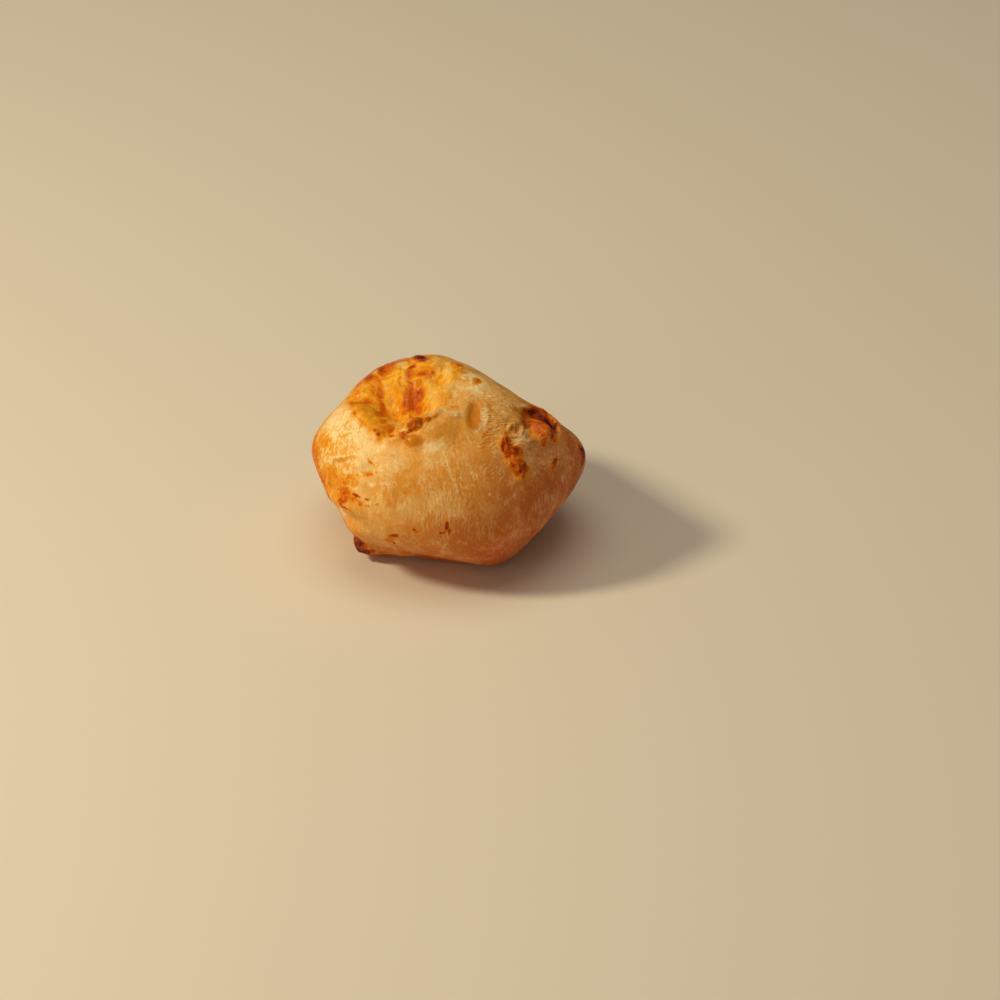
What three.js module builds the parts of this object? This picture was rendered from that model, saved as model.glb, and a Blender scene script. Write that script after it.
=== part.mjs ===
import * as THREE from "three";
import { mergeVertices } from "three/addons/utils/BufferGeometryUtils.js";

// A baked cheese ball, one closed solid. Millimetres, +Z up, -Y is the front, +X the right.
// Directions are given in degrees from the middle of the ball: azimuth 0 is the front, 90 the
// right, 180 the back and -90 the left, and elevation is measured up from the level.

// ---- Driving dimensions ----

const HALF_WIDTH = 37.3;
const HALF_DEPTH = 34;
const HALF_HEIGHT = 27.3;
const MIDDLE_HEIGHT = 22.8;
const EDGE_SHARPNESS = 14;

const NET_DETAIL = 23;
const NET_FOCUS = { azimuth: 0, elevation: 48, pull: 0.34 };

const CRUST_COLOUR = 0xeec884;
const CRUST_ROUGHNESS = 0.6;

// The dough is flatter where it sat on the tin, leaned on its neighbour or sagged.
const FLATS = [
  { name: "base", azimuth: 0, elevation: -90, reach: 23.8 },
  { name: "right shoulder", azimuth: 130, elevation: 46, reach: 24.2 },
  { name: "left shoulder", azimuth: -118, elevation: 37, reach: 31.6 },
  { name: "right under side", azimuth: 66, elevation: -33, reach: 31 },
  { name: "left under side", azimuth: -75, elevation: -23, reach: 32 },
  { name: "front under side", azimuth: -20, elevation: -50, reach: 27.4 },
];

// The top burst and fell in on the left. Each wall of the hollow rises at its own slope towards
// its own stretch of rim; `toward` is counted anticlockwise from the hollow's local x axis.
const CRATER = {
  azimuth: -62,
  elevation: 60,
  turn: 58.5,
  depth: 9.5,
  ragged: 1,
  walls: [
    { name: "front left lip", toward: 210, reach: 9.6, slope: 1.8 },
    { name: "front lip", toward: 291, reach: 11.6, slope: 2.2 },
    { name: "right side", toward: 350, reach: 12.5, slope: 0.8 },
    { name: "back", toward: 78, reach: 15, slope: 0.62 },
    { name: "back left", toward: 140, reach: 15.5, slope: 0.75 },
  ],
  foldSpacing: 8.6,
  foldHeight: 1.6,
  foldMiddle: -0.9,
  foldLean: -0.12,
};

// A second, smaller tear on the right, with a lump of cheese that boiled up inside it.
const PIT = {
  azimuth: 66,
  elevation: 36,
  turn: -35,
  depth: 4,
  ragged: 0.4,
  walls: [
    { name: "right", toward: 0, reach: 5.2, slope: 2 },
    { name: "top", toward: 90, reach: 4, slope: 1.4 },
    { name: "left", toward: 180, reach: 5.8, slope: 1 },
    { name: "bottom", toward: 270, reach: 4.2, slope: 1.3 },
  ],
};

// And one at the back.
const BACK_TEAR = {
  azimuth: 172,
  elevation: 24,
  turn: 18,
  depth: 3.2,
  ragged: 0.6,
  walls: [
    { name: "right", toward: 10, reach: 7.5, slope: 0.8 },
    { name: "top", toward: 95, reach: 4.2, slope: 1.7 },
    { name: "left", toward: 190, reach: 6.5, slope: 1.1 },
    { name: "bottom", toward: 265, reach: 4.6, slope: 0.8 },
  ],
};

// Knobs, crusts, folds and dents. long and wide are the half sizes along the feature's own
// axes, height is outwards (dents are negative), and edge is how square its shoulder is.
const RELIEF = [
  { name: "lip knob", azimuth: -24, elevation: 48, turn: 42, long: 3.4, wide: 2.1, height: 3, edge: 3 },
  { name: "lip knob foot", azimuth: -28, elevation: 41, turn: 60, long: 1.8, wide: 1.4, height: 1.3, edge: 3 },
  { name: "stained bulge", azimuth: -20, elevation: 39, turn: 0, long: 2, wide: 1.6, height: 1.1, edge: 2.5 },
  { name: "lip bead", azimuth: -9, elevation: 56, turn: 0, long: 1.5, wide: 1.2, height: 1.2, edge: 2.5 },
  { name: "top knob", azimuth: -140, elevation: 67, turn: -30, long: 2.6, wide: 2, height: 1.2, edge: 3 },
  { name: "lip edge", azimuth: 5, elevation: 55, turn: -6, long: 5.4, wide: 1.1, height: 0.8, edge: 2.5 },
  { name: "dimple", azimuth: 24, elevation: 54.5, turn: -20, long: 1.8, wide: 4.1, height: -1.9, edge: 3 },
  { name: "dimple rim", azimuth: 32, elevation: 54, turn: -20, long: 1.1, wide: 4, height: 0.7, edge: 2 },
  { name: "pit lump", azimuth: 66, elevation: 33.5, turn: -40, long: 3.2, wide: 2.5, height: 3.4, edge: 3 },
  { name: "pit right rim", azimuth: 80, elevation: 31, turn: 60, long: 5.5, wide: 2.4, height: 1.4, edge: 2.5 },
  { name: "pit left crust", azimuth: 60, elevation: 42, turn: 0, long: 1.8, wide: 1.6, height: 0.9, edge: 2.5 },
  { name: "crust patch top", azimuth: 36, elevation: 34.5, turn: 10, long: 1.6, wide: 2.8, height: 0.7, edge: 4 },
  { name: "crust patch middle", azimuth: 38, elevation: 25.5, turn: -20, long: 3.1, wide: 2.3, height: 0.9, edge: 4 },
  { name: "crust patch foot", azimuth: 37, elevation: 18.5, turn: 0, long: 1.7, wide: 1.5, height: 0.6, edge: 4 },
  { name: "brown streak", azimuth: 56, elevation: 17, turn: 10, long: 1, wide: 3.1, height: 0.5, edge: 3 },
  { name: "right flap", azimuth: 80, elevation: 7, turn: 10, long: 1.8, wide: 4.2, height: 0.9, edge: 3 },
  { name: "belt fold", azimuth: -54, elevation: 1, turn: 6, long: 8.5, wide: 1.7, height: 1.4, edge: 3 },
  { name: "belt furrow", azimuth: -52, elevation: -6, turn: 6, long: 8, wide: 2, height: -1.2, edge: 2.5 },
  { name: "flap under the belt", azimuth: -46, elevation: -13, turn: 30, long: 6, wide: 2.6, height: 0.9, edge: 3 },
  { name: "foot knob", azimuth: -58, elevation: -38, turn: 10, long: 3.6, wide: 3, height: 4, edge: 3 },
  { name: "foot skirt", azimuth: -38, elevation: -43, turn: 10, long: 7, wide: 2.5, height: 1.6, edge: 2.5 },
  { name: "blister", azimuth: -43, elevation: 24, turn: 20, long: 2.4, wide: 1.9, height: 0.8, edge: 2 },
  { name: "blister dent", azimuth: -52, elevation: 27, turn: 0, long: 2.6, wide: 1.5, height: -0.7, edge: 2 },
  { name: "left cheek dent", azimuth: -62, elevation: 33, turn: 0, long: 4.5, wide: 2.4, height: -0.6, edge: 2 },
  { name: "back cheese boil", azimuth: 178, elevation: 22, turn: 20, long: 3.6, wide: 2.4, height: 2.3, edge: 3 },
  { name: "back crust", azimuth: 148, elevation: 2, turn: 25, long: 4.5, wide: 2.7, height: 0.8, edge: 4 },
  { name: "back left crust", azimuth: -150, elevation: 8, turn: -20, long: 3.2, wide: 2, height: 0.8, edge: 4 },
  { name: "back knob", azimuth: -166, elevation: 40, turn: 0, long: 2.3, wide: 1.8, height: 1.5, edge: 3 },
  { name: "back fold", azimuth: -128, elevation: -6, turn: -10, long: 10, wide: 1.8, height: 1.1, edge: 3 },
  { name: "back furrow", azimuth: -128, elevation: -13, turn: -10, long: 9, wide: 2.2, height: -1.1, edge: 2.5 },
  { name: "back dent", azimuth: 118, elevation: 14, turn: 30, long: 6, wide: 3.6, height: -1.1, edge: 2 },
  { name: "back foot", azimuth: 155, elevation: -42, turn: 0, long: 4.5, wide: 2.4, height: 1.8, edge: 3 },
];

// Slow swells all over, as in any ball of dough shaped by hand.
const SWELLS = { count: 34, seed: 11, height: 0.45, narrowest: 6, widest: 12 };

// ---- Helpers ----

const radians = THREE.MathUtils.degToRad;

function direction({ azimuth, elevation }) {
  const a = radians(azimuth);
  const e = radians(elevation);
  return new THREE.Vector3(Math.sin(a) * Math.cos(e), -Math.cos(a) * Math.cos(e), Math.sin(e));
}

// Random numbers from 0 to 1, the same ones for the same seed.
function seededRandom(seed) {
  let state = seed;
  return () => {
    state = (state * 1664525 + 1013904223) % 4294967296;
    return state / 4294967296;
  };
}

const flats = FLATS.map((flat) => ({ ...flat, normal: direction(flat) }));

// The rounded body: an ellipsoid met by the flats, with every edge between them blended.
function bodyRadius(d) {
  const oval = Math.hypot(d.x / HALF_WIDTH, d.y / HALF_DEPTH, d.z / HALF_HEIGHT);
  let total = oval ** EDGE_SHARPNESS;
  for (const flat of flats) {
    const facing = flat.normal.dot(d) / flat.reach;
    if (facing > 0) total += facing ** EDGE_SHARPNESS;
  }
  return total ** (-1 / EDGE_SHARPNESS);
}

// A feature's own flat frame on the skin: x runs across and y up the slope, in millimetres,
// both turned anticlockwise. Returns null on the far half of the ball.
function localFrame(feature) {
  const out = direction(feature);
  const a = radians(feature.azimuth);
  const east = new THREE.Vector3(Math.cos(a), Math.sin(a), 0);
  const across = east.applyAxisAngle(out, radians(feature.turn));
  const up = out.clone().cross(across);
  const reach = bodyRadius(out);
  return (d) => (out.dot(d) > 0 ? { x: across.dot(d) * reach, y: up.dot(d) * reach } : null);
}

// A torn rim is never a straight line: this moves it in and out by up to a millimetre.
function raggedness(x, y) {
  return 0.6 * Math.sin(0.75 * x + 1.3) * Math.cos(0.8 * y - 0.4) + 0.4 * Math.sin(1.35 * x - 1.1 * y);
}

// How far a torn hollow falls below the skin: the walls and the floor, softly joined.
function hollow(feature) {
  const frame = localFrame(feature);
  const softness = 4;
  const walls = feature.walls.map((wall) => ({
    ...wall,
    x: Math.cos(radians(wall.toward)),
    y: Math.sin(radians(wall.toward)),
  }));
  return (d) => {
    const at = frame(d);
    if (!at) return 0;
    let total = feature.depth ** -softness;
    for (const wall of walls) {
      const rim = wall.reach + feature.ragged * raggedness(at.x, at.y);
      const inside = rim - at.x * wall.x - at.y * wall.y;
      if (inside <= 0) return 0;
      total += (inside * wall.slope) ** -softness;
    }
    const fall = total ** (-1 / softness);
    if (!feature.foldHeight) return -fall;
    const phase = (at.x - feature.foldMiddle - feature.foldLean * at.y) / feature.foldSpacing;
    const fold = feature.foldHeight * Math.cos(2 * Math.PI * phase);
    return -fall + (fold * fall) / feature.depth;
  };
}

// A raised or sunk spot: full height in the middle, falling away over its half sizes.
function mound(feature) {
  const frame = localFrame(feature);
  return (d) => {
    const at = frame(d);
    if (!at) return 0;
    const away = Math.hypot(at.x / feature.long, at.y / feature.wide);
    return feature.height * Math.exp(-(away ** feature.edge));
  };
}

function swells() {
  const random = seededRandom(SWELLS.seed);
  const made = [];
  for (let i = 0; i < SWELLS.count; i += 1) {
    const half = SWELLS.narrowest + (SWELLS.widest - SWELLS.narrowest) * random();
    made.push(
      mound({
        azimuth: 360 * random(),
        elevation: THREE.MathUtils.radToDeg(Math.asin(2 * random() - 1)),
        turn: 180 * random(),
        long: half,
        wide: half * (0.5 + 0.5 * random()),
        height: SWELLS.height * (random() < 0.5 ? -1 : 1),
        edge: 2,
      }),
    );
  }
  return made;
}

// ---- The ball ----

const shapes = [hollow(CRATER), hollow(PIT), hollow(BACK_TEAR), ...RELIEF.map(mound), ...swells()];

function ballGeometry() {
  const net = new THREE.IcosahedronGeometry(1, NET_DETAIL);
  net.deleteAttribute("normal");
  net.deleteAttribute("uv");
  const geometry = mergeVertices(net, 1e-5);
  const place = geometry.getAttribute("position");
  const pull = direction(NET_FOCUS).multiplyScalar(NET_FOCUS.pull);
  const d = new THREE.Vector3();
  for (let i = 0; i < place.count; i += 1) {
    // The net is drawn in towards the crater, so that its torn edge gets finer triangles.
    d.fromBufferAttribute(place, i).add(pull).normalize();
    let r = bodyRadius(d);
    for (const shape of shapes) r += shape(d);
    // The tin holds the underside to one level.
    place.setXYZ(i, d.x * r, d.y * r, Math.max(0, d.z * r + MIDDLE_HEIGHT));
  }
  // The ball stands on the middle of its own outline.
  geometry.computeBoundingBox();
  const middle = geometry.boundingBox.getCenter(new THREE.Vector3());
  return geometry.translate(-middle.x, -middle.y, 0);
}

function cheeseBall() {
  const crust = new THREE.MeshStandardMaterial({
    color: CRUST_COLOUR,
    roughness: CRUST_ROUGHNESS,
    metalness: 0,
  });
  const ball = new THREE.Mesh(ballGeometry(), crust);
  ball.name = "cheese_ball";
  return ball;
}

const part = new THREE.Group();
part.add(cheeseBall());

export default part;
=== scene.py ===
# %% [markdown]
# # A baked cheese ball
#
# A pao de queijo is a ball of tapioca dough and cheese. In the oven its skin sets first, then
# the steam inside stretches it, bursts it at the top and pulls the torn edge back over melted,
# browned cheese. The solid of the ball is already made, with its burst top, its knobs and its
# folds. This lesson gives it the skin: a fine net laid over the solid, small relief carved
# into that net, and one material that knows where the skin is creamy, golden or toasted.
#
# The first cell loads the solid. Everything is in metres, with the ball standing on z = 0.

# %% Load the solid
import math

import bpy
import numpy as np
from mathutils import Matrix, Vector, noise


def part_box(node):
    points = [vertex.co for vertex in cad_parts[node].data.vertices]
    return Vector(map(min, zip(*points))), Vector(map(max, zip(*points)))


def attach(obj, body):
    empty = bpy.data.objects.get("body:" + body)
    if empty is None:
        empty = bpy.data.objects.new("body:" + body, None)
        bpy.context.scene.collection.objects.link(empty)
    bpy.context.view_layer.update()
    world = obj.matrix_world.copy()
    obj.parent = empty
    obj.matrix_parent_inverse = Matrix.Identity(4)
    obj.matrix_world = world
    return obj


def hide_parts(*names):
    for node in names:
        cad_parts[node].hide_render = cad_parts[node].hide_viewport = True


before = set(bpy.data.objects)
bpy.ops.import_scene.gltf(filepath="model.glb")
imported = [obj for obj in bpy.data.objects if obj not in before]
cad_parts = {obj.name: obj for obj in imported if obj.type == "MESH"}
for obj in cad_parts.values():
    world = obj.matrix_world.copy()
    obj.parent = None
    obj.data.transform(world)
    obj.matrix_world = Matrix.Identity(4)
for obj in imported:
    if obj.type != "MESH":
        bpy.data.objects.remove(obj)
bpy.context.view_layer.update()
MM = 0.001
low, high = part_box("cheese_ball")
size = high - low
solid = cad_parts["cheese_ball"]
print("the ball measures", [round(side / MM, 1) for side in size], "mm")

# %% [markdown]
# ## A way to point at the skin
#
# A ball has no corners to measure from, so every place on it is given the way a place on a
# globe is: azimuth 0 is the front, 90 the right, 180 the back, -90 the left, and elevation is
# counted up from the level. Both are seen from one point in the middle of the dough.

# %% The middle of the dough, and directions from it
MIDDLE_HEIGHT = 0.457
MIDDLE_SHIFT = Vector((-0.64 * MM, -0.5 * MM, 0))
middle = (low + high) / 2 + MIDDLE_SHIFT
middle.z = low.z + MIDDLE_HEIGHT * size.z


def direction(azimuth, elevation):
    a, e = math.radians(azimuth), math.radians(elevation)
    return Vector((math.sin(a) * math.cos(e), -math.cos(a) * math.cos(e), math.sin(e)))


print("the middle lies", round(middle.z / MM, 1), "mm above the plate")

# %% [markdown]
# ## The camera
#
# The ball is small and the lens is long, so the view is nearly without perspective. The camera
# looks down by 32 degrees. The ball sits left of the middle of the picture and a little above
# it: the camera is slid sideways and down for that, which keeps the lens free of any shift.

# %% The camera
PICTURE_SIDE = 1000
BALL_IN_PICTURE = (447.1, 460.9)
FOCAL_IN_PIXELS = 4800
SENSOR = 36.0
LOOKING_DOWN = 32.0
DISTANCE = 1.26
NEAREST_SEEN, FARTHEST_SEEN = 0.01, 20.0

back = direction(0, LOOKING_DOWN)
right = Vector((1, 0, 0))
up = back.cross(right)
pixel = DISTANCE / FOCAL_IN_PIXELS
slide = right * (PICTURE_SIDE / 2 - BALL_IN_PICTURE[0]) * pixel
drop = up * (BALL_IN_PICTURE[1] - PICTURE_SIDE / 2) * pixel

camera_data = bpy.data.cameras.new("camera")
camera_data.sensor_width = SENSOR
camera_data.lens = SENSOR * FOCAL_IN_PIXELS / PICTURE_SIDE
camera_data.clip_start = NEAREST_SEEN
camera_data.clip_end = FARTHEST_SEEN
camera = bpy.data.objects.new("camera", camera_data)
camera.location = middle + back * DISTANCE + slide + drop
camera.rotation_mode = "QUATERNION"
camera.rotation_quaternion = (-back).to_track_quat("-Z", "Y")
bpy.context.collection.objects.link(camera)
bpy.context.scene.camera = camera
print("the lens is", round(camera_data.lens), "mm long")

# %% [markdown]
# ## Light and floor
#
# One warm key light stands high on the left, so that it rakes across the burst top and leaves
# the front in half shade. A wide soft light straight above shows which way each place faces,
# a weak one fills the shade from the front left, and a dim even sky does the rest. The
# picture's colours are kept as they are worked out, with no film curve over them, because the
# crust's hues matter here.

# %% Floor, lamps and sky
# A lamp's name, the side it stands on, its distance and width in metres, watts and colour.
LAMPS = (
    ("key", (-0.72, -0.15, 0.68), 0.9, 0.16, 4.8, (1.0, 0.87, 0.56)),
    ("top", (0.0, 0.0, 1.0), 1.2, 1.0, 4.1, (1.0, 0.88, 0.67)),
    ("fill", (-0.55, -0.76, 0.34), 1.2, 0.9, 1.9, (1.0, 0.78, 0.54)),
)
SKY_COLOUR = (1.0, 0.81, 0.62, 1.0)
SKY_STRENGTH = 0.14
FLOOR_SIDE = 6
FLOOR_COLOUR = (0.78, 0.73, 0.66, 1.0)
FLOOR_ROUGHNESS = 0.8

for name, side_of_ball, distance, width, watts, colour in LAMPS:
    light = bpy.data.lights.new(name, "AREA")
    light.shape = "DISK"
    light.size = width
    light.energy = watts
    light.color = colour
    lamp = bpy.data.objects.new(name, light)
    towards = Vector(side_of_ball).normalized()
    lamp.location = middle + towards * distance
    lamp.rotation_mode = "QUATERNION"
    lamp.rotation_quaternion = towards.to_track_quat("Z", "Y")
    bpy.context.collection.objects.link(lamp)

sky = bpy.data.worlds.new("sky")
sky.use_nodes = True
sky.node_tree.nodes["Background"].inputs["Color"].default_value = SKY_COLOUR
sky.node_tree.nodes["Background"].inputs["Strength"].default_value = SKY_STRENGTH
bpy.context.scene.world = sky
bpy.context.scene.view_settings.view_transform = "Standard"

pale_floor = bpy.data.materials.new("pale_floor")
pale_floor.use_nodes = True
floor_surface = pale_floor.node_tree.nodes["Principled BSDF"]
floor_surface.inputs["Base Color"].default_value = FLOOR_COLOUR
floor_surface.inputs["Roughness"].default_value = FLOOR_ROUGHNESS
bpy.ops.mesh.primitive_plane_add(size=FLOOR_SIDE, location=(0, 0, low.z))
floor = bpy.context.object
floor.name = "floor"
floor.data.materials.append(pale_floor)
print(len(LAMPS), "lamps, a sky and a floor")

# %% [markdown]
# ## The net
#
# The skin needs small, even faces, so that wrinkles less than a millimetre apart can be carved
# into it. A globe's net would crowd at its poles. A cube that is cut into squares and then
# blown up to a sphere has no poles: its squares stay nearly alike all over. The squares are
# then drawn in towards the burst top and the front, where the finest relief is.

# %% A cube blown up to a sphere
FIRST_CUTS = 63
SECOND_CUTS = 1
SPHERE_RADIUS = 0.05
FINEST_AT = direction(-5, 45)
DRAWN_IN = 0.30


def only(piece):
    """Selects this piece alone and makes it the active one."""
    bpy.ops.object.select_all(action="DESELECT")
    piece.select_set(True)
    bpy.context.view_layer.objects.active = piece


bpy.ops.object.select_all(action="DESELECT")
bpy.ops.mesh.primitive_cube_add(size=2 * SPHERE_RADIUS, location=middle)
ball = bpy.context.object
ball.name = "cheese_ball_skin"
bpy.ops.object.mode_set(mode="EDIT")
bpy.ops.mesh.select_all(action="SELECT")
bpy.ops.mesh.subdivide(number_cuts=FIRST_CUTS)
bpy.ops.mesh.subdivide(number_cuts=SECOND_CUTS)
bpy.ops.transform.tosphere(value=1.0)
bpy.ops.object.mode_set(mode="OBJECT")
bpy.ops.object.transform_apply(location=True, rotation=True, scale=True)


def read(piece, what="co"):
    """A piece's points in metres, or its points' normals, as rows of x, y and z."""
    flat = np.empty(3 * len(piece.data.vertices))
    piece.data.vertices.foreach_get(what, flat)
    return flat.reshape(-1, 3)


def write(piece, rows):
    """Puts a piece's points at these rows of x, y and z, in metres."""
    piece.data.vertices.foreach_set("co", rows.ravel())
    piece.data.update()


centre = np.array(middle)
out = read(ball) - centre
out = out / np.linalg.norm(out, axis=1)[:, None] + DRAWN_IN * np.array(FINEST_AT)
out = out / np.linalg.norm(out, axis=1)[:, None]
write(ball, centre + out * SPHERE_RADIUS)
print("the net has", len(ball.data.polygons), "squares")

# %% [markdown]
# ## Laying the net on the solid
#
# The solid is made of flat triangles. A copy of it is merged and rounded with a Subdivision
# Surface, so that no triangle shows through the skin. A Shrinkwrap modifier then drops every
# point of the net along its own normal until it meets that rounded copy. The copy has done
# its work after that, and is deleted.

# %% Rounded copy, shrinkwrap and a first smoothing
MERGE_WITHIN = 0.001 * MM


def apply_modifier(piece, kind, **settings):
    made = piece.modifiers.new(kind.lower(), kind)
    for name, value in settings.items():
        setattr(made, name, value)
    only(piece)
    bpy.ops.object.modifier_apply(modifier=made.name)


form = solid.copy()
form.data = solid.data.copy()
form.name = "rounded_form"
bpy.context.collection.objects.link(form)
only(form)
bpy.ops.object.mode_set(mode="EDIT")
bpy.ops.mesh.select_all(action="SELECT")
bpy.ops.mesh.remove_doubles(threshold=MERGE_WITHIN)
bpy.ops.object.mode_set(mode="OBJECT")
apply_modifier(form, "SUBSURF", levels=2, render_levels=2)

apply_modifier(
    ball,
    "SHRINKWRAP",
    target=form,
    wrap_method="PROJECT",
    use_negative_direction=True,
    use_positive_direction=False,
)
apply_modifier(ball, "SMOOTH", factor=0.5, iterations=3)
bpy.data.objects.remove(form)

laid = read(ball)
print("the net now spans", np.round((laid.max(0) - laid.min(0)) / MM, 1), "mm")

# %% [markdown]
# ## Tools for carving
#
# Sculpting by hand would differ each time, so the relief is worked out. From here on the net's
# points are plain arrays of numbers in millimetres. `local` lays a flat sheet of x and y on the
# skin about one direction, and `spot` makes a soft patch there, 1 inside and 0 outside, with a
# ragged edge. `cloud` is fractal noise and `cells` splits the skin into bubbles: the same places
# always give the same lumps, so the ball comes out alike each time.

# %% Sheets, clouds and spots
points = (laid - centre) / MM
radius = np.linalg.norm(points, axis=1)
ways = points / radius[:, None]
FACING_ENOUGH = 0.1
FAR_AWAY = 1000.0


def local(azimuth, elevation, turn=0.0, reach=None):
    """x across and y up the slope, in millimetres about a direction, turned anticlockwise."""
    towards = np.array(direction(azimuth, elevation))
    a, t = math.radians(azimuth), math.radians(turn)
    east = np.array((math.cos(a), math.sin(a), 0.0))
    north = np.cross(towards, east)
    facing = ways @ towards
    scale = reach or radius[np.argmax(facing)]
    across = math.cos(t) * east + math.sin(t) * north
    upwards = -math.sin(t) * east + math.cos(t) * north
    far = np.where(facing > FACING_ENOUGH, 0.0, FAR_AWAY)
    return ways @ across * scale + far, ways @ upwards * scale + far


def cloud(rows, grain, octaves=2, shift=0.0):
    """Noise of about -1 to 1 with lumps as wide as the grain, in millimetres."""
    scaled = (rows / grain + shift).tolist()
    return np.array([noise.fractal(place, 1.0, 2.0, octaves) for place in scaled])


def cells(rows, grain, shift=0.0):
    """Distance to the nearest cell middle and to the wall between two cells, in cells."""
    scaled = (rows / grain + shift).tolist()
    near = np.array([noise.voronoi(place)[0][:2] for place in scaled])
    return near[:, 0], near[:, 1] - near[:, 0]


def ramp(value, start, end):
    """Rises smoothly from 0 at the start to 1 at the end."""
    t = np.clip((value - start) / (end - start), 0.0, 1.0)
    return t * t * (3 - 2 * t)


def sheet(x, y):
    """A flat sheet's x and y as rows for cloud and cells."""
    return np.stack([x, y, np.zeros_like(x)], axis=1)


NARROWEST = 0.45
wobble = 0.7 * cloud(points, 3.0) + 0.5 * cloud(points, 1.1, shift=7.0)


def spot(azimuth, elevation, long, wide, turn=0.0, soft=0.3, ragged=0.3):
    """1 inside an oval of these half sizes and 0 outside it."""
    x, y = local(azimuth, elevation, turn)
    away = np.hypot(x / max(long, NARROWEST), y / max(wide, NARROWEST)) + ragged * wobble
    return 1.0 - ramp(away, 1.0 - soft, 1.0 + soft)


def strongest(table, soft, ragged):
    """The strongest of a table's spots at each point."""
    field = np.zeros(len(points))
    for _, azimuth, elevation, long, wide, turn, level in table:
        patch = level * spot(azimuth, elevation, long, wide, turn, soft, ragged)
        field = np.maximum(field, patch)
    return field


print("carving", len(points), "points")

# %% [markdown]
# ## Fuller and leaner places
#
# A real ball is never as regular as its solid. A few wide, soft swellings and hollows, each
# about a millimetre, bring the outline closer to a ball that leaned on its neighbours in the
# oven, and a few small bumps make the lip, the pit and the foot crisper. They move each point
# straight out from the middle or in towards it, so that steep places don't crease. The oval
# dimple beside the lip is levelled and pressed again, because it is shallow and its edge is
# crisp.

# %% Swellings
# A row has a name, azimuth, elevation, half length, half width, turn and rise.
FULLER = (
    ("back rim left", -122, 38, 10, 6, 0, 0.7),
    ("back rim", -146, 42, 6, 4, 0, -0.2),
    ("old top knob", -140, 66, 4.5, 3.5, 0, -1.2),
    ("top knob", -149, 60, 2.2, 1.7, 90, 0.9),
    ("back knob", -165, 42, 3.6, 3.2, 0, -1.8),
    ("right shoulder", 82, 16, 7, 6, 0, 0.7),
    ("right corner", 80, 5, 4, 4, 0, -0.6),
    ("left side", -88, -2, 7, 8, 0, 0.3),
    ("left flap", -62, -14, 5, 4, 0, -0.7),
    ("below the left side", -80, -19, 4.5, 4.5, 0, -0.9),
    ("foot knob", -58, -38, 4, 2.4, 0, -0.8),
    ("front foot left", -30, -39, 8, 5, 0, -1.3),
    ("front foot middle", 3, -45, 7, 5, 0, -1.5),
    ("front foot right", 30, -39, 7, 4.5, 0, 0.6),
    ("behind the lip knob", -26, 54, 2, 1.2, 0, -0.6),
    ("lip bead", -9, 55, 2.4, 2, 0, -0.6),
    ("dimple curtain", 32, 51, 3.2, 1.2, 59, 0.16),
    ("beside the lip knob", -13, 47, 5, 3.6, 0, 1.2),
    ("lobe beside the knob", -5, 50.5, 6, 3.2, 0, 0.9),
    ("teeth", 8, 59, 4, 2.2, 10, 0.35),
    ("cheek ridge", -30, 24, 2.4, 6, 14, 0.4),
    ("below the cheek ridge", -24, 16, 4, 5, 14, 0.3),
    ("pit lump", 63, 33, 3.8, 3, 40, 0.9),
    ("pit lump foot", 60, 29, 2.4, 2, 0, 0.5),
)
BUMPS = (
    ("foot bead", -62, -34, 2.2, 1.8, 40, 0.7),
    ("string flap", 46.5, 31.5, 2.8, 1.5, -15, 0.7),
    ("solid's lip knob", -25, 47, 3.6, 2.6, 42, -2.2),
    ("lip knob", -22, 46.8, 2.1, 1.5, 42, 1.9),
    ("lip knob foot", -27, 41, 1.3, 1, 60, 0.4),
    ("arm", -14, 51.5, 1.8, 0.7, 36, 0.3),
    ("arm knob", -10, 54.5, 1.2, 0.9, 0, 0.2),
)
DIMPLE = {"azimuth": 24, "elevation": 54, "turn": 63}
DIMPLE_LONG, DIMPLE_WIDE, DIMPLE_DEPTH = 4.3, 1.9, 0.6
DIMPLE_EDGE = (0.2, 1.15)
LEVELLED = (1.4, 2.2)
SKIN_AROUND = (2.0, 3.2)
FLAT_UNDERSIDE = 0.6
floor_level = (low.z - middle.z) / MM
above_plate = points[:, 2] - floor_level


def swellings():
    """How far the wide swellings and the small bumps move each point outwards."""
    rise_of_all = np.zeros(len(points))
    for table, soft, ragged in ((FULLER, 0.8, 0.05), (BUMPS, 0.45, 0.08)):
        for _, azimuth, elevation, long, wide, turn, rise in table:
            rise_of_all += rise * spot(azimuth, elevation, long, wide, turn, soft, ragged)
    return rise_of_all * ramp(above_plate, 0.0, FLAT_UNDERSIDE)


def dimple_again():
    """Levels the solid's dimple with the skin round it, and presses a clean oval one."""
    x, y = local(**DIMPLE)
    away = np.hypot(x / DIMPLE_LONG, y / DIMPLE_WIDE)
    terms = np.stack([np.ones_like(x), x, y, x * x, x * y, y * y], axis=1)
    around = (away > SKIN_AROUND[0]) & (away < SKIN_AROUND[1])
    shape = np.linalg.lstsq(terms[around], radius[around], rcond=None)[0]
    near = away < SKIN_AROUND[1]
    level = np.where(near, 1.0 - ramp(away, *LEVELLED), 0.0)
    missing = np.where(near, terms @ shape - radius, 0.0)
    return level * missing - DIMPLE_DEPTH * (1.0 - ramp(away, *DIMPLE_EDGE))


before = radius.copy()
radius += swellings()
radius += dimple_again()
points = ways * radius[:, None]
points[:, 2] = np.maximum(points[:, 2], floor_level)
write(ball, centre + points * MM)
height = np.zeros(len(points))
moved = radius - before
print("swellings from", round(float(moved.min()), 2), "to", round(float(moved.max()), 2), "mm")
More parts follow.
